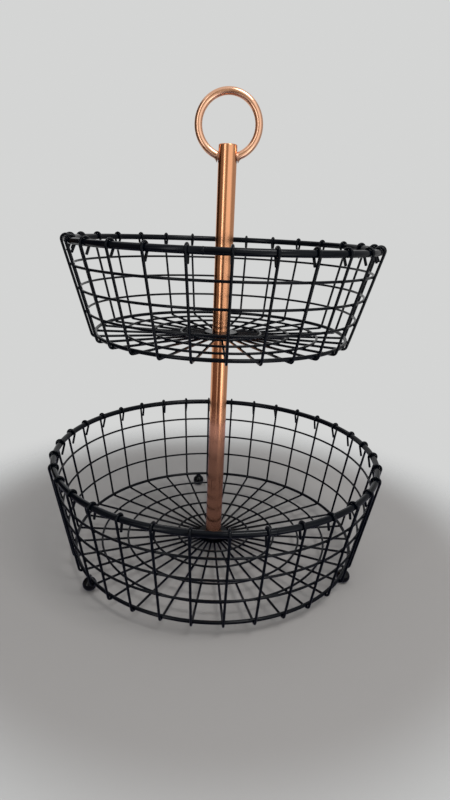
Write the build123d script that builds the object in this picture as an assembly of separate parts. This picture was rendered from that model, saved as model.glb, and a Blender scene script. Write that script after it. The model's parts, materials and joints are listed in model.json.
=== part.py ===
from build123d import *
import os
from math import acos, atan2, cos, degrees, hypot, radians, sin, sqrt

# Tiered wire basket: two welded wire baskets on a copper post with a carry ring.
# Millimetres, +Z up, origin on the surface it stands on, under the post.

# Wire diameters
rim_wire = 5.9
rib_wire = 2.4
ring_wire = 2.3
base_wire = 3.5

# Fits: wires that are welded together, pieces that turn on each other, thread flanks
weld_gap = 0.05
run_gap = 0.3
thread_gap = 0.08
overrun = 1.0

# Ribs: inside radius of the bottom corner
corner_radius = 2.4

# Radius of the innermost floor ring, the same in both baskets
floor_inner_radius = 39.5

# Lower basket
lower_base_height = 15.8
lower_depth = 98.2
lower_rim_radius = 167.0
lower_base_radius = 149.0
lower_wall_pitch = 23.8
lower_tail_length = 12.0
lower_tail_lean = 14.0
lower_rib_count = 34
lower_rib_turn = 9.7
lower_wall_count = 3
lower_floor_count = 4

# Upper basket
upper_depth = 84.3
upper_rim_radius = 144.7
upper_base_radius = 122.0
upper_wall_pitch = 21.2
upper_tail_length = 8.5
upper_tail_lean = 20.0
upper_rib_count = 28
upper_rib_turn = 2.4
upper_wall_count = 3
upper_floor_count = 3

# Hubs: a plate under the spokes with a boss between their ends, and a washer on top
hub_radius = 16.0
spoke_end_radius = 13.6
hub_plate_thickness = 1.6
hub_washer_thickness = 1.6
hub_edge_round = 0.5

# Post: two tube sections joined by a stud through the upper hub
post_diameter = 17.2
post_wall = 1.2
lower_post_length = 220.6
handle_post_length = 170.4
post_end_wall = 2.5
post_end_round = 1.2
plug_length = 14.0
stud_diameter = 8.0
stud_reach = 12.5
stud_chamfer = 0.8
stud_hole_clearance = 0.5

# Screw that holds the lower hub to the post from below
screw_diameter = 8.0
screw_reach = 11.0
screw_head_flats = 13.0
screw_head_height = 4.6
screw_head_chamfer = 0.9
screw_washer_radius = 10.0
screw_washer_thickness = 1.2

# Carry ring, passed through the top of the post and brazed on both sides
carry_radius = 27.2
carry_wire = 7.0
carry_below_top = 11.3
carry_turn = 4.2
braze_width = 1.3
braze_length = 3.4

# Ball feet on pegs under the lower base ring, set a little in from it
foot_radius = 6.9
foot_flat_depth = 0.15
foot_inset = 1.0
foot_turns = (99.0, 217.0, 335.0)
foot_names = ("back", "front_left", "front_right")
peg_radius = 2.2
peg_depth = 4.0

# Levels, from the surface up
lower_spoke_height = lower_base_height - base_wire / 2 - rib_wire / 2 - weld_gap
lower_post_bottom = lower_spoke_height + rib_wire / 2 + weld_gap + hub_washer_thickness
lower_post_top = lower_post_bottom + lower_post_length
upper_plate_bottom = lower_post_top + run_gap
upper_spoke_height = upper_plate_bottom + hub_plate_thickness + weld_gap + rib_wire / 2
upper_base_height = upper_spoke_height + rib_wire / 2 + weld_gap + base_wire / 2
clamp_washer_bottom = upper_spoke_height + rib_wire / 2 + run_gap
handle_bottom = clamp_washer_bottom + hub_washer_thickness + run_gap
handle_top = handle_bottom + handle_post_length
carry_height = handle_top - carry_below_top + carry_radius

# Shared radii
post_radius = post_diameter / 2
tube_bore = post_radius - post_wall
plug_radius = tube_bore - weld_gap
stud_radius = stud_diameter / 2
stud_hole = stud_radius + stud_hole_clearance
screw_radius = screw_diameter / 2
hook_radius = rim_wire / 2 + rib_wire / 2 + weld_gap
bend_radius = corner_radius + rib_wire / 2

ON_BASE = (Align.CENTER, Align.CENTER, Align.MIN)
UNDER_TOP = (Align.CENTER, Align.CENTER, Align.MAX)

os.makedirs("parts", exist_ok=True)


def save(name, *solids):
    """Write one piece, or a group of like pieces, to its own file."""
    shape = solids[0] if len(solids) == 1 else Compound(children=list(solids))
    export_step(shape, f"parts/{name}.step")


def disc(radius, height, bottom):
    """An upright cylinder standing on the level given."""
    return Pos(0, 0, bottom) * Cylinder(radius, height, align=ON_BASE)


def hoop(radius, wire, height):
    """A closed ring of round wire lying level."""
    return Pos(0, 0, height) * Torus(radius, wire / 2)


def around(shape, count, turn):
    """Even copies of a shape round the post."""
    return [place * shape for place in PolarLocations(0, count, turn)]


# One basket's rib, drawn in the radial plane as (radius, height)

def wall_line(base_radius, spoke_height, rim_radius, rim_height):
    """The slanted run of a rib: its outward normal and how far out it stands.

    It is the outer tangent of the hook's circle round the rim and the circle of the bottom corner.
    """
    bend_height = spoke_height + bend_radius
    across = rim_radius - base_radius
    up = rim_height - bend_height
    lean = atan2(up, across) - acos((bend_radius - hook_radius) / hypot(across, up))
    normal = (cos(lean), sin(lean))
    reach = normal[0] * base_radius + normal[1] * bend_height + bend_radius
    return normal, reach


def rib(base_radius, spoke_height, rim_radius, rim_height, tail_length, tail_lean):
    """A rib: tail inside the rim, hook over it, wall, bottom corner and floor spoke."""
    normal, _ = wall_line(base_radius, spoke_height, rim_radius, rim_height)
    wall_angle = degrees(atan2(normal[1], normal[0]))
    tail_angle = 180 + tail_lean
    corner_angle = -90

    def on_circle(centre, radius, angle):
        return Vector(centre[0] + radius * cos(radians(angle)), 0, centre[1] + radius * sin(radians(angle)))

    rim_centre = (rim_radius, rim_height)
    bend_centre = (base_radius, spoke_height + bend_radius)
    hook_in = on_circle(rim_centre, hook_radius, tail_angle)
    hook_top = on_circle(rim_centre, hook_radius, (tail_angle + wall_angle) / 2)
    hook_out = on_circle(rim_centre, hook_radius, wall_angle)
    wall_foot = on_circle(bend_centre, bend_radius, wall_angle)
    corner = on_circle(bend_centre, bend_radius, (wall_angle + corner_angle) / 2)
    spoke_start = on_circle(bend_centre, bend_radius, corner_angle)
    spoke_end = Vector(spoke_end_radius, 0, spoke_height)
    tail_way = Vector(sin(radians(tail_lean)), 0, -cos(radians(tail_lean)))
    tail_end = hook_in + tail_way * tail_length

    path = Wire(
        [
            Edge.make_line(tail_end, hook_in),
            Edge.make_three_point_arc(hook_in, hook_top, hook_out),
            Edge.make_line(hook_out, wall_foot),
            Edge.make_three_point_arc(wall_foot, corner, spoke_start),
            Edge.make_line(spoke_start, spoke_end),
        ]
    )
    section = Plane(origin=tail_end, z_dir=-tail_way) * Circle(rib_wire / 2)
    return sweep(section, path=path)


def wall_ring_radius(normal, reach, height):
    """Radius at which a wall ring just touches the ribs from inside, at its own height."""
    inset = rib_wire / 2 + ring_wire / 2 + weld_gap
    return (reach - inset - normal[1] * height) / normal[0]


def basket(
    tier,
    base_radius,
    base_height,
    rim_radius,
    depth,
    wall_pitch,
    wall_count,
    floor_count,
    rib_count,
    rib_turn,
    tail_length,
    tail_lean,
):
    """Every wire of one basket: rim, wall rings, base ring, floor rings and ribs."""
    rim_height = base_height + depth
    spoke_height = base_height - base_wire / 2 - rib_wire / 2 - weld_gap
    normal, reach = wall_line(base_radius, spoke_height, rim_radius, rim_height)

    save(f"{tier}_rim", hoop(rim_radius, rim_wire, rim_height))
    save(f"{tier}_base_ring", hoop(base_radius, base_wire, base_height))
    for number in range(1, wall_count + 1):
        height = rim_height - wall_pitch * number
        radius = wall_ring_radius(normal, reach, height)
        save(f"{tier}_wall_ring_{number}", hoop(radius, ring_wire, height))
    floor_height = spoke_height + rib_wire / 2 + ring_wire / 2 + weld_gap
    floor_pitch = (base_radius - floor_inner_radius) / floor_count
    for number in range(1, floor_count + 1):
        radius = base_radius - floor_pitch * number
        save(f"{tier}_floor_ring_{number}", hoop(radius, ring_wire, floor_height))
    one_rib = rib(base_radius, spoke_height, rim_radius, rim_height, tail_length, tail_lean)
    save(f"{tier}_ribs", *around(one_rib, rib_count, rib_turn))


# Hubs

def hub_plate(spoke_height):
    """The plate under the spokes, with the boss that fills the space between their ends."""
    plate_top = spoke_height - rib_wire / 2 - weld_gap
    plate_bottom = plate_top - hub_plate_thickness
    plate = disc(hub_radius, hub_plate_thickness, plate_bottom)
    plate = fillet(plate.edges().filter_by(GeomType.CIRCLE), hub_edge_round)
    boss_height = hub_plate_thickness + weld_gap + rib_wire
    boss = disc(spoke_end_radius - weld_gap, boss_height, plate_bottom)
    hole = disc(stud_hole, boss_height + 2 * overrun, plate_bottom - overrun)
    return plate + boss - hole


def hub_washer(bottom):
    """The round washer that lies on the spokes and carries a post section."""
    washer = disc(hub_radius, hub_washer_thickness, bottom)
    washer = fillet(washer.edges().filter_by(GeomType.CIRCLE), hub_edge_round)
    return washer - disc(stud_hole, hub_washer_thickness + 2 * overrun, bottom - overrun)


# Post sections and what joins them

def tube(length, bottom):
    """A plain round tube."""
    return disc(post_radius, length, bottom) - disc(tube_bore, length + 2 * overrun, bottom - overrun)


def threaded_plug(bottom, hole_radius):
    """The threaded plug brazed into the end of a tube."""
    return disc(plug_radius, plug_length, bottom) - disc(hole_radius, plug_length + 2 * overrun, bottom - overrun)


def joining_stud():
    """The stud fixed in the lower post, up through the upper hub into the handle."""
    bottom = lower_post_top - plug_length
    top = handle_bottom + stud_reach
    stud = disc(stud_radius - thread_gap, top - bottom, bottom)
    return chamfer(stud.edges().group_by(Axis.Z)[-1], stud_chamfer)


def hub_screw():
    """Hex screw from under the lower hub up into the lower post."""
    plate_bottom = lower_spoke_height - rib_wire / 2 - weld_gap - hub_plate_thickness
    head_top = plate_bottom - weld_gap - screw_washer_thickness - weld_gap
    shank = disc(screw_radius - thread_gap, lower_post_bottom + screw_reach - head_top, head_top)
    head_bottom = head_top - screw_head_height
    outline = RegularPolygon(screw_head_flats / 2, 6, major_radius=False)
    head = extrude(Pos(0, 0, head_bottom) * outline, screw_head_height)
    blank = disc(screw_head_flats / 2 + overrun, screw_head_height, head_bottom)
    blank = chamfer(blank.edges().group_by(Axis.Z)[0], overrun + screw_head_chamfer)
    return (head & blank) + shank


def screw_washer():
    """Plain washer between the screw's head and the hub plate."""
    top = lower_spoke_height - rib_wire / 2 - weld_gap - hub_plate_thickness - weld_gap
    bottom = top - screw_washer_thickness
    washer = disc(screw_washer_radius, screw_washer_thickness, bottom)
    return washer - disc(stud_hole, screw_washer_thickness + 2 * overrun, bottom - overrun)


# Handle

def carry_hoop(wire):
    """The upright carry ring, as wire of the diameter given."""
    return Pos(0, 0, carry_height) * Rot(90, 0, carry_turn) * Torus(carry_radius, wire / 2)


def handle_post():
    """Tube closed at its top, with the two holes that the carry ring passes through."""
    shell = disc(post_radius, handle_post_length, handle_bottom)
    shell = fillet(shell.edges().group_by(Axis.Z)[-1], post_end_round)
    bore = disc(tube_bore, handle_post_length - post_end_wall + overrun, handle_bottom - overrun)
    return shell - bore - carry_hoop(carry_wire + 2 * weld_gap)


def braze_flare():
    """Round form that runs in a hollow curve from the ring's wire out to the post."""
    root = Vector(carry_wire / 2 + braze_width, 0, 0)
    tip = Vector(carry_wire / 2 + 2 * weld_gap, 0, braze_length + braze_width)
    tip_centre = Vector(0, 0, tip.Z)
    outline = Wire(
        [
            Edge.make_line(Vector(0, 0, 0), root),
            Edge.make_tangent_arc(tip, Vector(0, 0, -1), root),
            Edge.make_line(tip, tip_centre),
            Edge.make_line(tip_centre, Vector(0, 0, 0)),
        ]
    )
    return revolve(Face(outline), Axis.Z)


def braze_collars():
    """The braze that flares round the ring where it enters the post, one collar each side."""
    entry_reach = post_radius - braze_width
    drop = sqrt(carry_radius**2 - entry_reach**2)
    slope = degrees(atan2(entry_reach, drop))
    collars = []
    for side in (1, -1):
        entry = Pos(side * entry_reach, 0, carry_height - drop)
        collar = Rot(0, 0, carry_turn) * entry * Rot(0, side * (90 - slope), 0) * braze_flare()
        collar -= disc(post_radius + weld_gap, handle_post_length, handle_bottom)
        collar -= carry_hoop(carry_wire + 2 * weld_gap)
        collars.append(collar)
    return collars


# Feet

def foot_ball():
    """Ball foot with a small flat to stand on and a blind hole for its peg."""
    centre = foot_radius - foot_flat_depth
    ball = Pos(0, 0, centre) * Sphere(foot_radius)
    ball -= Pos(0, 0, 0) * Box(4 * foot_radius, 4 * foot_radius, 2 * foot_radius, align=UNDER_TOP)
    hole_bottom = centre + foot_radius - peg_depth
    return ball - disc(peg_radius + weld_gap, peg_depth + overrun, hole_bottom)


def foot_peg():
    """Peg from the ball up to the base ring, saddled to the ring's wire."""
    bottom = 2 * foot_radius - foot_flat_depth - peg_depth + weld_gap
    return disc(peg_radius, lower_base_height - bottom, bottom)


def feet():
    """The three feet, each a ball and its peg."""
    saddle = hoop(lower_base_radius, base_wire + 2 * weld_gap, lower_base_height)
    for name, turn in zip(foot_names, foot_turns):
        place = Rot(0, 0, turn) * Pos(lower_base_radius - foot_inset, 0, 0)
        save(f"foot_ball_{name}", place * foot_ball())
        peg = place * foot_peg() - saddle
        save(f"foot_peg_{name}", peg.solids().sort_by(Axis.Z)[0])


basket(
    "lower",
    lower_base_radius,
    lower_base_height,
    lower_rim_radius,
    lower_depth,
    lower_wall_pitch,
    lower_wall_count,
    lower_floor_count,
    lower_rib_count,
    lower_rib_turn,
    lower_tail_length,
    lower_tail_lean,
)
basket(
    "upper",
    upper_base_radius,
    upper_base_height,
    upper_rim_radius,
    upper_depth,
    upper_wall_pitch,
    upper_wall_count,
    upper_floor_count,
    upper_rib_count,
    upper_rib_turn,
    upper_tail_length,
    upper_tail_lean,
)

save("lower_hub_plate", hub_plate(lower_spoke_height))
save("lower_hub_washer", hub_washer(lower_spoke_height + rib_wire / 2 + weld_gap))
save("upper_hub_plate", hub_plate(upper_spoke_height))
save("clamp_washer", hub_washer(clamp_washer_bottom))

save("lower_post", tube(lower_post_length, lower_post_bottom))
save("lower_post_bottom_plug", threaded_plug(lower_post_bottom, screw_radius))
save("lower_post_top_plug", threaded_plug(lower_post_top - plug_length, stud_radius))
save("joining_stud", joining_stud())
save("hub_screw", hub_screw())
save("hub_screw_washer", screw_washer())

save("handle_post", handle_post())
save("handle_plug", threaded_plug(handle_bottom, stud_radius))
save("carry_ring", carry_hoop(carry_wire))
save("carry_ring_braze", *braze_collars())

feet()
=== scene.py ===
import bmesh
import bpy
import json
import random
from collections import namedtuple
from math import acos, atan2, cos, hypot, pi, radians, sin, tan
from mathutils import Matrix, Vector


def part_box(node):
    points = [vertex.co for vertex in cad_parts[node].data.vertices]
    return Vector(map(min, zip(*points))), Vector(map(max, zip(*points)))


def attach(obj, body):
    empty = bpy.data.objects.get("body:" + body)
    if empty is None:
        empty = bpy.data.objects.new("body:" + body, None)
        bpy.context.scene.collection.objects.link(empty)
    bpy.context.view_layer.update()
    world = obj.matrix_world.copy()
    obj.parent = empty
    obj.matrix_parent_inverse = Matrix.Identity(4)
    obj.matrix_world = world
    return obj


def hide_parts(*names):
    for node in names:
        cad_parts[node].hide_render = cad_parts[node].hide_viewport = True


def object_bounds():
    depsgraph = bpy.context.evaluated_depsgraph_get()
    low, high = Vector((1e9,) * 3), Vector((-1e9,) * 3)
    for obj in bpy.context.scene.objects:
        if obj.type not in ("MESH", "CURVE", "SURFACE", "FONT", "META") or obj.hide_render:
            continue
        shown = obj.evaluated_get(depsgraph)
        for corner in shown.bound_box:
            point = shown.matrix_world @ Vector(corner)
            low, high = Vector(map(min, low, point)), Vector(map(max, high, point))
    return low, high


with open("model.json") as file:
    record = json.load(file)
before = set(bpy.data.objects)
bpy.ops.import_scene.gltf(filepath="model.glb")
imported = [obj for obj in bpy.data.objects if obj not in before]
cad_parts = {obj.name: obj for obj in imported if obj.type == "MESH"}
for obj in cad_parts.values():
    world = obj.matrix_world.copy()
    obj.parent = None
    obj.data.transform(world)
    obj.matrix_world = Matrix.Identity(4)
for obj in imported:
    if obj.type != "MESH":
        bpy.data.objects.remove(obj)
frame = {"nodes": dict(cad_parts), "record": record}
cad_low, cad_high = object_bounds()

# Tiered wire basket: two welded wire baskets on a copper post. Metres throughout.
MM = 0.001

# How the ribs are bent, as the basket is built
RIB_WIRE = 2.4 * MM
CORNER_RADIUS = 2.4 * MM
SPOKE_END_RADIUS = 13.6 * MM
WELD_GAP = 0.05 * MM
RIB_COUNT = {"lower": 34, "upper": 28}
RIB_TURN = {"lower": radians(9.7), "upper": radians(2.4)}
TAIL_LENGTH = {"lower": 12.0 * MM, "upper": 8.5 * MM}
TAIL_LEAN = {"lower": radians(14), "upper": radians(20)}

# How unevenly the tails were bent by hand
TAIL_LEAN_SPREAD = radians(3)
TAIL_SIDE_SPREAD = radians(4)
TAIL_LENGTH_SPREAD = 0.9 * MM

# Domed tip of a wire: how far back from the tip and how thick, in shares of the wire's radius
TIP_SHARES = ((0.0, 0.55), (0.15, 0.86), (0.45, 1.0))

# Weld beads between two wires: half sizes, and the shares of them that a bead may have
BEAD_ALONG_RING = 1.35 * MM
BEAD_ALONG_RIB = 1.45 * MM
BEAD_BETWEEN = 0.85 * MM
BEAD_SPREAD = (0.85, 1.15)

# Butt weld where the ends of a ring meet: half its length, and how far it stands off the wire
BUTT_HALF_LENGTH = 2.4 * MM
BUTT_PROUD = 0.18 * MM

# Weld collar round each foot's peg: how far it stands off the peg, and half its height
COLLAR_PROUD = 1.0 * MM
COLLAR_HALF_HEIGHT = 1.1 * MM

# Thread on the joining stud
THREAD_PITCH = 1.25 * MM
THREAD_DEPTH = 0.65 * MM

# Braze round the carry ring: thickness above and below the wire, how far out of the post it
# runs, how deep in the post it starts, and how far it is tucked into the wire's surface
BRAZE_TOP = 0.7 * MM
BRAZE_UNDER = 2.6 * MM
BRAZE_LENGTH = 3.2 * MM
BRAZE_START_DEPTH = 0.6 * MM
BRAZE_TUCK = 0.1 * MM

# Mesh fineness
WIRE_SIDES = 12
ARC_STEP = radians(15)
BEAD_FINENESS = 1
WELD_FINENESS = 3
THREAD_ROWS_PER_TURN = 8
BRAZE_STEPS = 6
SHARP_EDGE = radians(35)
FLOOR_SIDES = 96
TABLE_SIDES = 48

# Camera, from the photograph: place, aim and focal length in pixels of a 450 x 800 image
CAMERA_DISTANCE = 543.5 * MM
CAMERA_HEIGHT = 346.0 * MM
CAMERA_YAW = radians(0.73)
CAMERA_PITCH = radians(-17.87)
CAMERA_ROLL = radians(2.4)
FOCAL_PX = 550.3
IMAGE_HEIGHT_PX = 800
SENSOR_MM = 36.0

# Colours of the finishes
COAT_BLACK = (0.0013, 0.0024, 0.0048)
COAT_DUST = (0.035, 0.034, 0.033)
PAINT_BLACK = (0.0013, 0.0018, 0.0026)
PAINT_DUST = (0.05, 0.049, 0.047)
ZINC_BRIGHT = (0.52, 0.52, 0.53)
ZINC_DULL = (0.36, 0.35, 0.34)

# Specular level of the blacks and the floor, lower than plain paint's 0.5
BLACK_SHEEN = 0.15
FLOOR_SHEEN = 0.15

# Ranges that a mask or a roughness is spread over: of the grain's soft value, of the noise that
# thins the dust, and of how far up a face looks, where 1 is straight up
NOISE_RANGE = (0.3, 0.7)
DUST_PATCHES = (0.35, 0.75)
DUST_FACING = (0.3, 1.0)

# Floor disc that fades out into the backdrop, and the light of the room
FLOOR_RADIUS = 0.42
FLOOR_FADE_START = 0.25
FLOOR_COLOUR = (0.42, 0.40, 0.385)
BACKDROP_COLOUR = (0.66, 0.665, 0.66)
AMBIENT_COLOUR = (0.94, 0.97, 1.0)
AMBIENT_LEVEL = 0.5
WHITE = (1.0, 1.0, 1.0)

# Soft lamp above the front right
LAMP_SIZE = 0.6
LAMP_PLACE = (0.45, -0.55, 1.5)
LAMP_LEVEL = 6.8

# Heights of the room round the basket
ROOM_BOTTOM = -0.9
ROOM_SPLIT = 0.0
ROOM_MIDDLE = 0.28
ROOM_TOP = 1.5

# Upright light panels: turn from the camera's side in degrees, width, bottom, top, level, colour
PANEL_DISTANCE = 1.3
PANELS = {
    "window_right": (35, 1.2, ROOM_SPLIT, ROOM_TOP, 0.35, (1.0, 0.99, 0.97)),
    "window_left": (-34, 0.2, ROOM_SPLIT, ROOM_TOP, 2.4, WHITE),
    "window_low": (38, 0.5, ROOM_BOTTOM, ROOM_SPLIT, 1.6, WHITE),
}

# Cloth of the cards that only reflections show
DARK_CLOTH = (0.05, 0.03, 0.016)
BROWN_CLOTH = (0.30, 0.25, 0.20)
RUST_CLOTH = (0.23, 0.15, 0.12)
DIM_CLOTH = (0.14, 0.10, 0.07)
TAN_CLOTH = (0.50, 0.42, 0.30)
GREY_CLOTH = (0.60, 0.58, 0.56)
TABLE_CLOTH = (0.62, 0.60, 0.78)

# Upright cards: from one turn to another in degrees, bottom, top, colour
CARD_DISTANCE = 1.2
CARDS = {
    "dark_room_left": (-135, -85, ROOM_SPLIT, ROOM_TOP, DARK_CLOTH),
    "brown_room_left": (-85, -48, ROOM_SPLIT, ROOM_TOP, BROWN_CLOTH),
    "dim_room_front": (-16, 5, ROOM_SPLIT, ROOM_MIDDLE, DIM_CLOTH),
    "tan_room_front": (-16, 5, ROOM_MIDDLE, ROOM_TOP, TAN_CLOTH),
    "low_room_left": (-105, -28, ROOM_BOTTOM, ROOM_SPLIT, RUST_CLOTH),
    "low_room_front": (-16, 18, ROOM_BOTTOM, ROOM_SPLIT, RUST_CLOTH),
    "grey_room_right": (72, 150, ROOM_BOTTOM, ROOM_TOP, GREY_CLOTH),
}

# Level card under the floor
TABLE_RADIUS = 0.42
TABLE_DROP = 1 * MM


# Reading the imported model

Ring = namedtuple("Ring", "radius height wire")
RibShape = namedtuple("RibShape", "base rim hook_radius bend_radius spoke_height normal")


def ring_of(node):
    """Mean radius, height and wire radius of a level ring."""
    low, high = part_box(node)
    wire = (high.z - low.z) / 2
    return Ring((high.x - low.x) / 2 - wire, (high.z + low.z) / 2, wire)


def rib_shape(tier):
    """The rings that a basket's ribs bend round, and the bends themselves.

    The wall run's outward normal comes from the tangent of the hook and the bottom corner.
    """
    base, rim = ring_of(f"{tier}_base_ring"), ring_of(f"{tier}_rim")
    wire = RIB_WIRE / 2
    hook_radius = rim.wire + wire + WELD_GAP
    bend_radius = CORNER_RADIUS + wire
    spoke_height = base.height - base.wire - wire - WELD_GAP
    across = rim.radius - base.radius
    up = rim.height - spoke_height - bend_radius
    normal = atan2(up, across) - acos((bend_radius - hook_radius) / hypot(across, up))
    return RibShape(base, rim, hook_radius, bend_radius, spoke_height, normal)


def carry_ring_shape():
    """Turn about the post, mean radius, height of the middle and wire radius of the carry ring."""
    low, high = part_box("carry_ring")
    points = [vertex.co for vertex in frame["nodes"]["carry_ring"].data.vertices]
    widest = max(points, key=lambda point: point.x)
    turn = turn_z(atan2(widest.y, widest.x))
    face = turn @ Vector((0, 1, 0))
    wire = max(abs(point.dot(face)) for point in points)
    return turn, (high.z - low.z) / 2 - wire, (high.z + low.z) / 2, wire


# Mesh helpers

def turn_z(angle):
    """A turn about the post."""
    return Matrix.Rotation(angle, 3, "Z")


def angles(count):
    """Even angles once round."""
    return [2 * pi * k / count for k in range(count)]


def new_piece(name, bm, body, material):
    """Turn a finished bmesh into a smooth piece that rides on a body."""
    bmesh.ops.recalc_face_normals(bm, faces=bm.faces)
    mesh = bpy.data.meshes.new(name)
    bm.to_mesh(mesh)
    bm.free()
    for face in mesh.polygons:
        face.use_smooth = True
    mesh.materials.append(material)
    piece = bpy.data.objects.new(name, mesh)
    bpy.context.scene.collection.objects.link(piece)
    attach(piece, body)
    return piece


def skin_rows(bm, rows):
    """Join rows of points, each a closed loop, into a skin with closed ends."""
    loops = [[bm.verts.new(point) for point in row] for row in rows]
    for lower, upper in zip(loops, loops[1:]):
        for i in range(len(lower)):
            j = (i + 1) % len(lower)
            bm.faces.new((lower[i], lower[j], upper[j], upper[i]))
    bm.faces.new(list(reversed(loops[0])))
    bm.faces.new(loops[-1])


def wire_rows(points, radii, side):
    """Loops of points round a path: side is a direction that the path never runs along."""
    rows = []
    for i, (point, radius) in enumerate(zip(points, radii)):
        before = points[max(i - 1, 0)]
        after = points[min(i + 1, len(points) - 1)]
        along = (after - before).normalized()
        across = (side - along * side.dot(along)).normalized()
        out = along.cross(across)
        rows.append([
            point + (across * cos(angle) + out * sin(angle)) * radius
            for angle in angles(WIRE_SIDES)
        ])
    return rows


def arc_points(centre, radius, start, end):
    """Points of an arc in the radial plane, as (out, up), from one angle to another."""
    steps = max(2, round(abs(end - start) / ARC_STEP))
    turns = [start + (end - start) * k / steps for k in range(steps + 1)]
    return [(centre[0] + radius * cos(a), centre[1] + radius * sin(a)) for a in turns]


# Ribs

def rib_path(shape, tail_length, tail_lean):
    """Centreline of one rib in the radial plane, from the tail's tip to the spoke's end."""
    base, rim = shape.base, shape.rim
    hook = arc_points(
        (rim.radius, rim.height), shape.hook_radius, pi + tail_lean, shape.normal
    )
    bend = arc_points(
        (base.radius, shape.spoke_height + shape.bend_radius),
        shape.bend_radius, shape.normal, -pi / 2,
    )
    out, up = hook[0]
    tip = (out + tail_length * sin(tail_lean), up - tail_length * cos(tail_lean))
    return [tip, *hook, *bend, (SPOKE_END_RADIUS, shape.spoke_height)]


def with_round_tip(points, radius):
    """Dome the first end of a wire: two more points close to it, with smaller radii."""
    tip = points[0]
    along = (tip - points[1]).normalized()
    ends = [tip - along * radius * back for back, _ in TIP_SHARES]
    radii = [radius * thick for _, thick in TIP_SHARES]
    return ends + points[1:], radii + [radius] * (len(points) - 1)


def rib_turns(tier):
    """Where each rib of a basket stands about the post."""
    count = RIB_COUNT[tier]
    return [turn_z(RIB_TURN[tier] + 2 * pi * number / count) for number in range(count)]


def add_ribs(tier, body, material):
    """Every rib of a basket, with tails bent a little unevenly."""
    rng = random.Random(tier)
    shape = rib_shape(tier)
    bm = bmesh.new()
    for turn in rib_turns(tier):
        lean = TAIL_LEAN[tier] + rng.uniform(-1, 1) * TAIL_LEAN_SPREAD
        length = TAIL_LENGTH[tier] + rng.uniform(-1, 1) * TAIL_LENGTH_SPREAD
        points = [Vector((out, 0, up)) for out, up in rib_path(shape, length, lean)]
        points[0].y += tan(rng.uniform(-1, 1) * TAIL_SIDE_SPREAD) * length
        points = [turn @ point for point in points]
        points, radii = with_round_tip(points, RIB_WIRE / 2)
        skin_rows(bm, wire_rows(points, radii, turn @ Vector((0, 1, 0))))
    piece = new_piece(f"{tier}_rib_wires", bm, body, material)
    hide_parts(f"{tier}_ribs")


# Welds

def add_bead(bm, place, fineness):
    """One bead: a small ball, stretched by the matrix given."""
    bmesh.ops.create_icosphere(bm, subdivisions=fineness, radius=1.0, matrix=place)


def bead_place(turn, out, up, along_rib, along_ring, between, slope=0.0):
    """Where a bead sits and its half sizes. The slope is the rib's, up from level."""
    ways = (
        Vector((cos(slope), 0, sin(slope))) * along_rib,
        Vector((0, 1, 0)) * along_ring,
        Vector((-sin(slope), 0, cos(slope))) * between,
    )
    place = Matrix([turn @ way for way in ways]).transposed().to_4x4()
    place.translation = turn @ Vector((out, 0, up))
    return place


def rib_crossings(tier):
    """Where a rib touches its basket's rings, as (out, up), with its slope there."""
    normal = rib_shape(tier).normal
    crossings = []
    for node in frame["nodes"]:
        if node.startswith(f"{tier}_wall_ring"):
            ring = ring_of(node)
            out = ring.radius + ring.wire * cos(normal)
            up = ring.height + ring.wire * sin(normal)
            crossings.append((out, up, normal + pi / 2))
        elif node.startswith(f"{tier}_floor_ring") or node == f"{tier}_base_ring":
            ring = ring_of(node)
            crossings.append((ring.radius, ring.height - ring.wire, 0.0))
    return crossings


def add_weld_beads(tier, body, material):
    """A bead at every crossing of a rib with the wall, base and floor rings."""
    rng = random.Random(tier + " welds")
    crossings = rib_crossings(tier)
    bm = bmesh.new()
    for turn in rib_turns(tier):
        for out, up, slope in crossings:
            size = rng.uniform(*BEAD_SPREAD)
            half_sizes = (BEAD_ALONG_RIB * size, BEAD_ALONG_RING * size, BEAD_BETWEEN * size)
            add_bead(bm, bead_place(turn, out, up, *half_sizes, slope), BEAD_FINENESS)
    piece = new_piece(f"{tier}_weld_beads", bm, body, material)


def add_butt_welds(tier, body, material):
    """One small swelling on every ring, where its two ends were welded together."""
    rng = random.Random(tier + " butt welds")
    bm = bmesh.new()
    for node in frame["nodes"]:
        if node.startswith(f"{tier}_") and ("_ring" in node or node.endswith("_rim")):
            ring = ring_of(node)
            proud = ring.wire + BUTT_PROUD
            turn = turn_z(rng.uniform(0, 2 * pi))
            half_sizes = (proud, BUTT_HALF_LENGTH, proud)
            add_bead(bm, bead_place(turn, ring.radius, ring.height, *half_sizes), WELD_FINENESS)
    piece = new_piece(f"{tier}_butt_welds", bm, body, material)


def add_foot_collars(material):
    """Weld round each foot's peg, on top of its ball."""
    bm = bmesh.new()
    for node in frame["nodes"]:
        if node.startswith("foot_peg"):
            low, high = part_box(node)
            ball_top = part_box(node.replace("peg", "ball"))[1].z
            out = (high.x - low.x) / 2 + COLLAR_PROUD
            place = Matrix.Diagonal((out, out, COLLAR_HALF_HEIGHT, 1))
            place.translation = ((low.x + high.x) / 2, (low.y + high.y) / 2, ball_top)
            add_bead(bm, place, WELD_FINENESS)
    piece = new_piece("foot_weld_collars", bm, "lower_basket", material)


# Joining stud

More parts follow.
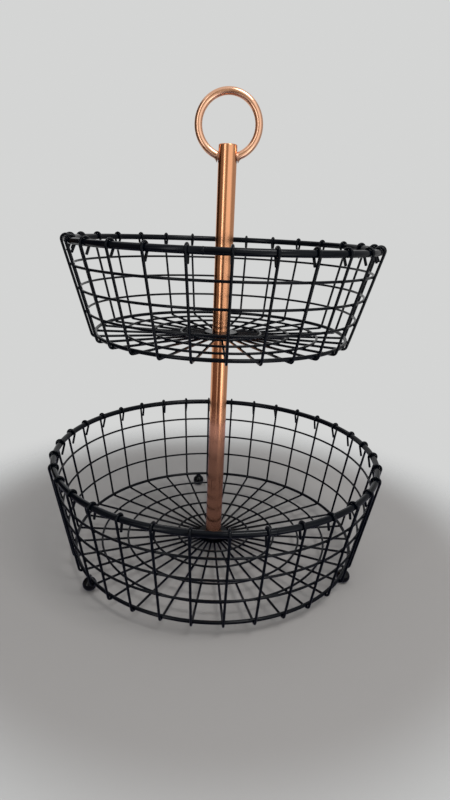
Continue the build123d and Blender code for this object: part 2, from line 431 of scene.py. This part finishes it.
def add_stud_thread(material):
    """The stud with its thread cut, in place of the plain shaft."""
    low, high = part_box("joining_stud")
    crest = (high.x - low.x) / 2
    count = round((high.z - low.z) / THREAD_PITCH * THREAD_ROWS_PER_TURN)
    sides = 2 * WIRE_SIDES
    rows = []
    for row in range(count + 1):
        height = low.z + (high.z - low.z) * row / count
        taper = min(1.0, (high.z - height) / THREAD_PITCH, (height - low.z) / THREAD_PITCH)
        loop = []
        for k, angle in enumerate(angles(sides)):
            phase = (height - low.z) / THREAD_PITCH - k / sides
            groove = abs(2 * (phase % 1.0) - 1)
            radius = crest - THREAD_DEPTH * (groove * taper + (1 - taper))
            loop.append(Vector((radius * cos(angle), radius * sin(angle), height)))
        rows.append(loop)
    bm = bmesh.new()
    skin_rows(bm, rows)
    piece = new_piece("joining_stud_thread", bm, "lower_basket", material)
    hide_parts("joining_stud")


# Braze round the carry ring

def add_braze(material):
    """Braze that has run round the ring and down the post, heavier below the ring."""
    turn, mean, centre, wire = carry_ring_shape()
    post_low, post_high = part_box("handle_post")
    post = (post_high.x - post_low.x) / 2
    bm = bmesh.new()
    for side in (1, -1):
        rows = []
        for step in range(BRAZE_STEPS + 1):
            along = step / BRAZE_STEPS
            reach = post - BRAZE_START_DEPTH + along * BRAZE_LENGTH
            drop = (mean**2 - reach**2) ** 0.5
            middle = Vector((side * reach, 0, centre - drop))
            tangent = Vector((side * drop, 0, reach)).normalized()
            up = Vector((-side * tangent.z, 0, abs(tangent.x)))
            fade = (1 - along) ** 2
            loop = []
            for angle in angles(2 * WIRE_SIDES):
                below = (1 - sin(angle)) / 2
                thick = BRAZE_TOP + (BRAZE_UNDER - BRAZE_TOP) * below**2
                radius = wire - BRAZE_TUCK + thick * fade
                off = (Vector((0, 1, 0)) * cos(angle) + up * sin(angle)) * radius
                loop.append(turn @ (middle + off))
            rows.append(loop)
        skin_rows(bm, rows)
    piece = new_piece("carry_ring_braze_runs", bm, "handle", material)
    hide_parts("carry_ring_braze")


# Node helpers. A tree is a material's, a group's or the world's.

def set_inputs(node, **values):
    """Set a node's plain inputs by their labels, with _ for a space."""
    for label, value in values.items():
        node.inputs[label.replace("_", " ")].default_value = value
    return node


def calculate(tree, operation, first, second):
    """Combine two values."""
    node = tree.nodes.new("ShaderNodeMath")
    node.operation = operation
    tree.links.new(first, node.inputs[0])
    tree.links.new(second, node.inputs[1])
    return node.outputs[0]


def remap(tree, value, start, end, low=0.0, high=1.0, easing="LINEAR"):
    """Map a value from the range start to end to the range low to high."""
    node = tree.nodes.new("ShaderNodeMapRange")
    node.interpolation_type = easing
    set_inputs(node, From_Min=start, From_Max=end, To_Min=low, To_Max=high)
    tree.links.new(value, node.inputs["Value"])
    return node.outputs["Result"]


def noise(tree, place, scale, detail):
    """Soft noise at a scale that a group is given."""
    node = set_inputs(tree.nodes.new("ShaderNodeTexNoise"), Detail=detail)
    tree.links.new(place, node.inputs["Vector"])
    tree.links.new(scale, node.inputs["Scale"])
    return node.outputs["Fac"]


def mix_colour(tree, mask, first, second):
    """Blend two colours by a mask."""
    node = tree.nodes.new("ShaderNodeMix")
    node.data_type = "RGBA"
    set_inputs(node, A=(*first, 1), B=(*second, 1))
    tree.links.new(mask, node.inputs["Factor"])
    return node.outputs["Result"]


def show_blend(tree, mask, first, second, end):
    """Blend two shaders by a mask and send them to the tree's end."""
    blend = tree.nodes.new("ShaderNodeMixShader")
    tree.links.new(mask, blend.inputs["Fac"])
    tree.links.new(first.outputs[0], blend.inputs[1])
    tree.links.new(second.outputs[0], blend.inputs[2])
    tree.links.new(blend.outputs[0], tree.nodes[end].inputs["Surface"])


# Shader node groups

def new_group(name, inputs, outputs):
    """An empty node group with number inputs, by label and usual value, and the outputs given."""
    group = bpy.data.node_groups.new(name, "ShaderNodeTree")
    for label, usual in inputs.items():
        socket = group.interface.new_socket(
            label, in_out="INPUT", socket_type="NodeSocketFloat"
        )
        socket.default_value = usual
    for label in outputs:
        group.interface.new_socket(label, in_out="OUTPUT", socket_type="NodeSocketFloat")
    return group, group.nodes.new("NodeGroupInput"), group.nodes.new("NodeGroupOutput")


def dust_group():
    """Dust that has settled on what faces up, thinned by broad patches."""
    group, given, out = new_group(
        "settled dust", {"Amount": 0.3, "Patch Scale": 60.0}, ["Mask"]
    )
    surface = group.nodes.new("ShaderNodeNewGeometry")
    facing = group.nodes.new("ShaderNodeSeparateXYZ")
    group.links.new(surface.outputs["Normal"], facing.inputs[0])
    coords = group.nodes.new("ShaderNodeTexCoord")
    patches = noise(group, coords.outputs["Object"], given.outputs["Patch Scale"], detail=4.0)
    settled = calculate(
        group, "MULTIPLY",
        remap(group, facing.outputs["Z"], *DUST_FACING), remap(group, patches, *DUST_PATCHES),
    )
    mask = calculate(group, "MULTIPLY", settled, given.outputs["Amount"])
    group.links.new(mask, out.inputs["Mask"])
    return group


def grain_group():
    """Fine grain of a finish: a height for bump and a soft value for roughness and colour.

    A stretch below 1 draws the grain out along the post.
    """
    scales = {"Fine Scale": 900.0, "Broad Scale": 40.0}
    group, given, out = new_group(
        "finish grain", {**scales, "Stretch": 1.0}, ["Height", "Variation"]
    )
    coords = group.nodes.new("ShaderNodeTexCoord")
    squeeze = set_inputs(group.nodes.new("ShaderNodeCombineXYZ"), X=1.0, Y=1.0)
    group.links.new(given.outputs["Stretch"], squeeze.inputs["Z"])
    place = group.nodes.new("ShaderNodeVectorMath")
    place.operation = "MULTIPLY"
    group.links.new(coords.outputs["Object"], place.inputs[0])
    group.links.new(squeeze.outputs[0], place.inputs[1])
    for label, scale in zip(("Height", "Variation"), scales):
        value = noise(group, place.outputs[0], given.outputs[scale], detail=3.0)
        group.links.new(value, out.inputs[label])
    return group


DUST = dust_group()
GRAIN = grain_group()


# Materials

def new_material(name):
    """A material, its node tree and its shader."""
    material = bpy.data.materials.new(name)
    material.use_nodes = True
    tree = material.node_tree
    return material, tree, tree.nodes["Principled BSDF"]


def place_group(tree, group, **values):
    """Put a node group in a material with its own values."""
    node = tree.nodes.new("ShaderNodeGroup")
    node.node_tree = group
    return set_inputs(node, **values)


def add_grain(tree, shader, fine, broad, roughness, strength, height, stretch=1.0):
    """Grain that bumps the surface and varies its roughness. Gives back its soft value."""
    grain = place_group(tree, GRAIN, Fine_Scale=fine, Broad_Scale=broad, Stretch=stretch)
    soft = grain.outputs["Variation"]
    tree.links.new(remap(tree, soft, *NOISE_RANGE, *roughness), shader.inputs["Roughness"])
    bump = set_inputs(tree.nodes.new("ShaderNodeBump"), Strength=strength, Distance=height)
    tree.links.new(grain.outputs["Height"], bump.inputs["Height"])
    tree.links.new(bump.outputs["Normal"], shader.inputs["Normal"])
    return soft


def add_dust(tree, shader, clean, dusty, amount, patch_scale):
    """Colour a surface, with dust on what faces up."""
    dust = place_group(tree, DUST, Amount=amount, Patch_Scale=patch_scale)
    colour = mix_colour(tree, dust.outputs["Mask"], clean, dusty)
    tree.links.new(colour, shader.inputs["Base Color"])


def add_patches(tree, shader, soft, bright, dull):
    """Colour a surface in soft patches of two tones."""
    colour = mix_colour(tree, remap(tree, soft, *NOISE_RANGE), bright, dull)
    tree.links.new(colour, shader.inputs["Base Color"])


def black_coat(name, roughness):
    """Black powder coat with a little dust on what faces up."""
    material, tree, shader = new_material(name)
    set_inputs(shader, Specular_IOR_Level=BLACK_SHEEN)
    add_grain(
        tree, shader, fine=1500.0, broad=45.0, roughness=roughness,
        strength=0.15, height=0.12 * MM,
    )
    add_dust(tree, shader, COAT_BLACK, COAT_DUST, amount=0.10, patch_scale=70.0)
    return material


def ball_paint():
    """Gloss black paint on the feet."""
    material, tree, shader = new_material("gloss black ball paint")
    set_inputs(shader, Specular_IOR_Level=BLACK_SHEEN, Coat_Weight=0.1, Coat_Roughness=0.08)
    add_grain(
        tree, shader, fine=700.0, broad=120.0, roughness=(0.16, 0.30),
        strength=0.12, height=0.2 * MM,
    )
    add_dust(tree, shader, PAINT_BLACK, PAINT_DUST, amount=0.05, patch_scale=150.0)
    return material


def copper_plate(name, stretch, roughness, bright, dull):
    """Copper, a little streaked and darker where it has been handled."""
    material, tree, shader = new_material(name)
    set_inputs(shader, Metallic=1.0)
    add_grain(
        tree, shader, fine=900.0, broad=160.0, roughness=roughness,
        strength=0.03, height=0.08 * MM, stretch=stretch,
    )
    tarnish = place_group(tree, GRAIN, Broad_Scale=38.0, Stretch=0.35)
    add_patches(tree, shader, tarnish.outputs["Variation"], bright, dull)
    return material


def zinc_plate():
    """Plain zinc-plated steel of the screw, its washer, the plugs and the stud."""
    material, tree, shader = new_material("zinc plated steel")
    set_inputs(shader, Metallic=1.0)
    soft = add_grain(
        tree, shader, fine=1200.0, broad=260.0, roughness=(0.28, 0.42),
        strength=0.08, height=0.1 * MM,
    )
    add_patches(tree, shader, soft, ZINC_BRIGHT, ZINC_DULL)
    return material


WIRE = black_coat("satin black powder coat", roughness=(0.10, 0.19))
PLATE = black_coat("dull black coat", roughness=(0.5, 0.65))
BALL = ball_paint()
POST_COPPER = copper_plate(
    "streaked copper plate", stretch=0.03, roughness=(0.10, 0.20),
    bright=(0.90, 0.44, 0.235), dull=(0.84, 0.385, 0.20),
)
# The rod is the same copper as the post, painted paler and pinker: a painted highlight standing in
# for the brighter reflections on the ring
RING_COPPER_PAINTED_PALE = copper_plate(
    "bent copper rod, painted paler as a highlight", stretch=1.0, roughness=(0.16, 0.26),
    bright=(0.94, 0.55, 0.36), dull=(0.88, 0.49, 0.32),
)
BRAZE = copper_plate(
    "dull braze", stretch=1.0, roughness=(0.32, 0.5),
    bright=(0.58, 0.31, 0.20), dull=(0.36, 0.20, 0.14),
)
ZINC = zinc_plate()

FINISH_OF_SLOT = {
    "black_wire": WIRE, "black_ball": BALL, "zinc_steel": ZINC, "copper": POST_COPPER
}
FINISH_OF_NODE = {
    "carry_ring": RING_COPPER_PAINTED_PALE,
    "lower_hub_plate": PLATE,
    "lower_hub_washer": PLATE,
    "upper_hub_plate": PLATE,
}


def dress_nodes():
    """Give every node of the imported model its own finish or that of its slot."""
    slots = {row["node"]: row["material_slot"] for row in frame["record"]["subparts"]}
    for name, node in frame["nodes"].items():
        node.data.materials.clear()
        node.data.materials.append(FINISH_OF_NODE.get(name, FINISH_OF_SLOT[slots[name]]))
        node.data.shade_smooth()
        node.modifiers.new("sharp edges", "EDGE_SPLIT").split_angle = SHARP_EDGE


# Stage, light and camera

def soft_background():
    """The pale surroundings: one level that is seen, also in metal, and one that lights."""
    world = bpy.data.worlds.new("soft room")
    bpy.context.scene.world = world
    world.use_nodes = True
    tree = world.node_tree
    lighting = set_inputs(
        tree.nodes["Background"], Color=(*AMBIENT_COLOUR, 1), Strength=AMBIENT_LEVEL
    )
    backdrop = set_inputs(tree.nodes.new("ShaderNodeBackground"), Color=(*BACKDROP_COLOUR, 1))
    rays = tree.nodes.new("ShaderNodeLightPath")
    seen = rays.outputs["Is Camera Ray"]
    for other in ("Is Glossy Ray", "Is Transmission Ray"):
        seen = calculate(tree, "MAXIMUM", seen, rays.outputs[other])
    show_blend(tree, seen, lighting, backdrop, "World Output")


def stage_mesh(name, bm, material):
    """Turn a finished bmesh into part of the stage."""
    mesh = bpy.data.meshes.new(name)
    bm.to_mesh(mesh)
    bm.free()
    mesh.materials.append(material)
    thing = bpy.data.objects.new(name, mesh)
    bpy.context.scene.collection.objects.link(thing)
    return thing


def stage_disc(name, radius, sides, height, material):
    """A level disc of the stage."""
    bm = bmesh.new()
    bmesh.ops.create_circle(bm, cap_ends=True, segments=sides, radius=radius)
    disc = stage_mesh(name, bm, material)
    disc.location.z = height
    return disc


def floor_finish():
    """Pale matt floor that fades into the backdrop at its edge."""
    material, tree, shader = new_material("pale matt floor")
    set_inputs(shader, Roughness=0.9, Specular_IOR_Level=FLOOR_SHEEN)
    coords = tree.nodes.new("ShaderNodeTexCoord")
    out = tree.nodes.new("ShaderNodeVectorMath")
    out.operation = "LENGTH"
    tree.links.new(coords.outputs["Object"], out.inputs[0])
    fade = remap(
        tree, out.outputs["Value"], FLOOR_FADE_START, FLOOR_RADIUS, easing="SMOOTHSTEP"
    )
    colour = mix_colour(tree, fade, FLOOR_COLOUR, BACKDROP_COLOUR)
    tree.links.new(colour, shader.inputs["Base Color"])
    clear = tree.nodes.new("ShaderNodeBsdfTransparent")
    show_blend(tree, fade, shader, clear, "Material Output")
    return material


def add_floor():
    """A round floor just under the feet, which the metal doesn't mirror."""
    floor = stage_disc("floor", FLOOR_RADIUS, FLOOR_SIDES, cad_low.z, floor_finish())
    floor.visible_glossy = False


def cloth(name, colour):
    """Plain matt cloth of one colour."""
    material, _, shader = new_material(name)
    set_inputs(shader, Base_Color=(*colour, 1), Roughness=1.0, Specular_IOR_Level=0.0)
    return material


def only_in_reflections(thing):
    """Hide a stage piece from everything but shiny surfaces."""
    for kind in ("camera", "diffuse", "transmission", "volume_scatter", "shadow"):
        setattr(thing, f"visible_{kind}", False)


def add_card(name, start, end, bottom, top, colour):
    """An upright card round part of the room, from one turn to another in degrees."""
    bm = bmesh.new()
    start, end = radians(start), radians(end)
    steps = max(1, round((end - start) / ARC_STEP))
    columns = []
    for k in range(steps + 1):
        angle = start + (end - start) * k / steps
        foot = Vector((CARD_DISTANCE * sin(angle), -CARD_DISTANCE * cos(angle), bottom))
        head = foot + Vector((0, 0, top - bottom))
        columns.append((bm.verts.new(foot), bm.verts.new(head)))
    for left, right in zip(columns, columns[1:]):
        bm.faces.new((left[0], right[0], right[1], left[1]))
    only_in_reflections(stage_mesh(name, bm, cloth(f"{name} cloth", colour)))


def add_table():
    """A level card just under the floor, which the metal mirrors in its place."""
    finish = cloth("pale_table cloth", TABLE_CLOTH)
    height = cad_low.z - TABLE_DROP
    only_in_reflections(stage_disc("pale_table", TABLE_RADIUS, TABLE_SIDES, height, finish))


def add_lamp(name, shape, width, tall, place, outward, level, colour):
    """An area lamp at a place, with its back turned outward."""
    lamp = bpy.data.lights.new(name, "AREA")
    lamp.shape = shape
    lamp.size = width
    lamp.size_y = tall
    lamp.energy = level * pi * lamp.size * lamp.size_y
    lamp.color = colour
    light = bpy.data.objects.new(name, lamp)
    bpy.context.scene.collection.objects.link(light)
    light.location = place
    light.rotation_mode = "QUATERNION"
    light.rotation_quaternion = outward.to_track_quat("Z", "Y")


def add_panel(name, turn, width, bottom, top, level, colour):
    """An upright light panel at a turn in degrees, as bright as the level given."""
    outward = Vector((sin(radians(turn)), -cos(radians(turn)), 0))
    place = outward * PANEL_DISTANCE + Vector((0, 0, (bottom + top) / 2))
    add_lamp(name, "RECTANGLE", width, top - bottom, place, outward, level, colour)


def add_lights():
    """Windows to the right and left, a soft lamp, and the dark and dim parts of the room."""
    for name, values in PANELS.items():
        add_panel(name, *values)
    place = Vector(LAMP_PLACE)
    add_lamp("soft_lamp", "DISK", LAMP_SIZE, LAMP_SIZE, place, place, LAMP_LEVEL, WHITE)
    for name, values in CARDS.items():
        add_card(name, *values)
    add_table()


def add_camera():
    """The camera where the photograph was taken from, with its slight roll."""
    level = cos(CAMERA_PITCH)
    aim = Vector((sin(CAMERA_YAW) * level, cos(CAMERA_YAW) * level, sin(CAMERA_PITCH)))
    right = Vector((cos(CAMERA_YAW), -sin(CAMERA_YAW), 0))
    up = right.cross(aim)
    rolled_right = right * cos(CAMERA_ROLL) + up * sin(CAMERA_ROLL)
    rolled_up = up * cos(CAMERA_ROLL) - right * sin(CAMERA_ROLL)
    data = bpy.data.cameras.new("camera")
    data.sensor_width = SENSOR_MM
    data.lens = FOCAL_PX / IMAGE_HEIGHT_PX * SENSOR_MM
    camera = bpy.data.objects.new("camera", data)
    bpy.context.scene.collection.objects.link(camera)
    axes = Matrix((rolled_right, rolled_up, -aim)).transposed().to_4x4()
    place = Matrix.Translation((0, -CAMERA_DISTANCE, CAMERA_HEIGHT))
    camera.matrix_world = place @ axes
    bpy.context.scene.camera = camera


dress_nodes()
for tier, body in (("lower", "lower_basket"), ("upper", "upper_basket")):
    add_ribs(tier, body, WIRE)
    add_weld_beads(tier, body, WIRE)
    add_butt_welds(tier, body, WIRE)
add_foot_collars(WIRE)
add_stud_thread(ZINC)
add_braze(BRAZE)
soft_background()
add_floor()
add_lights()
add_camera()
bpy.context.scene.view_settings.view_transform = "Standard"
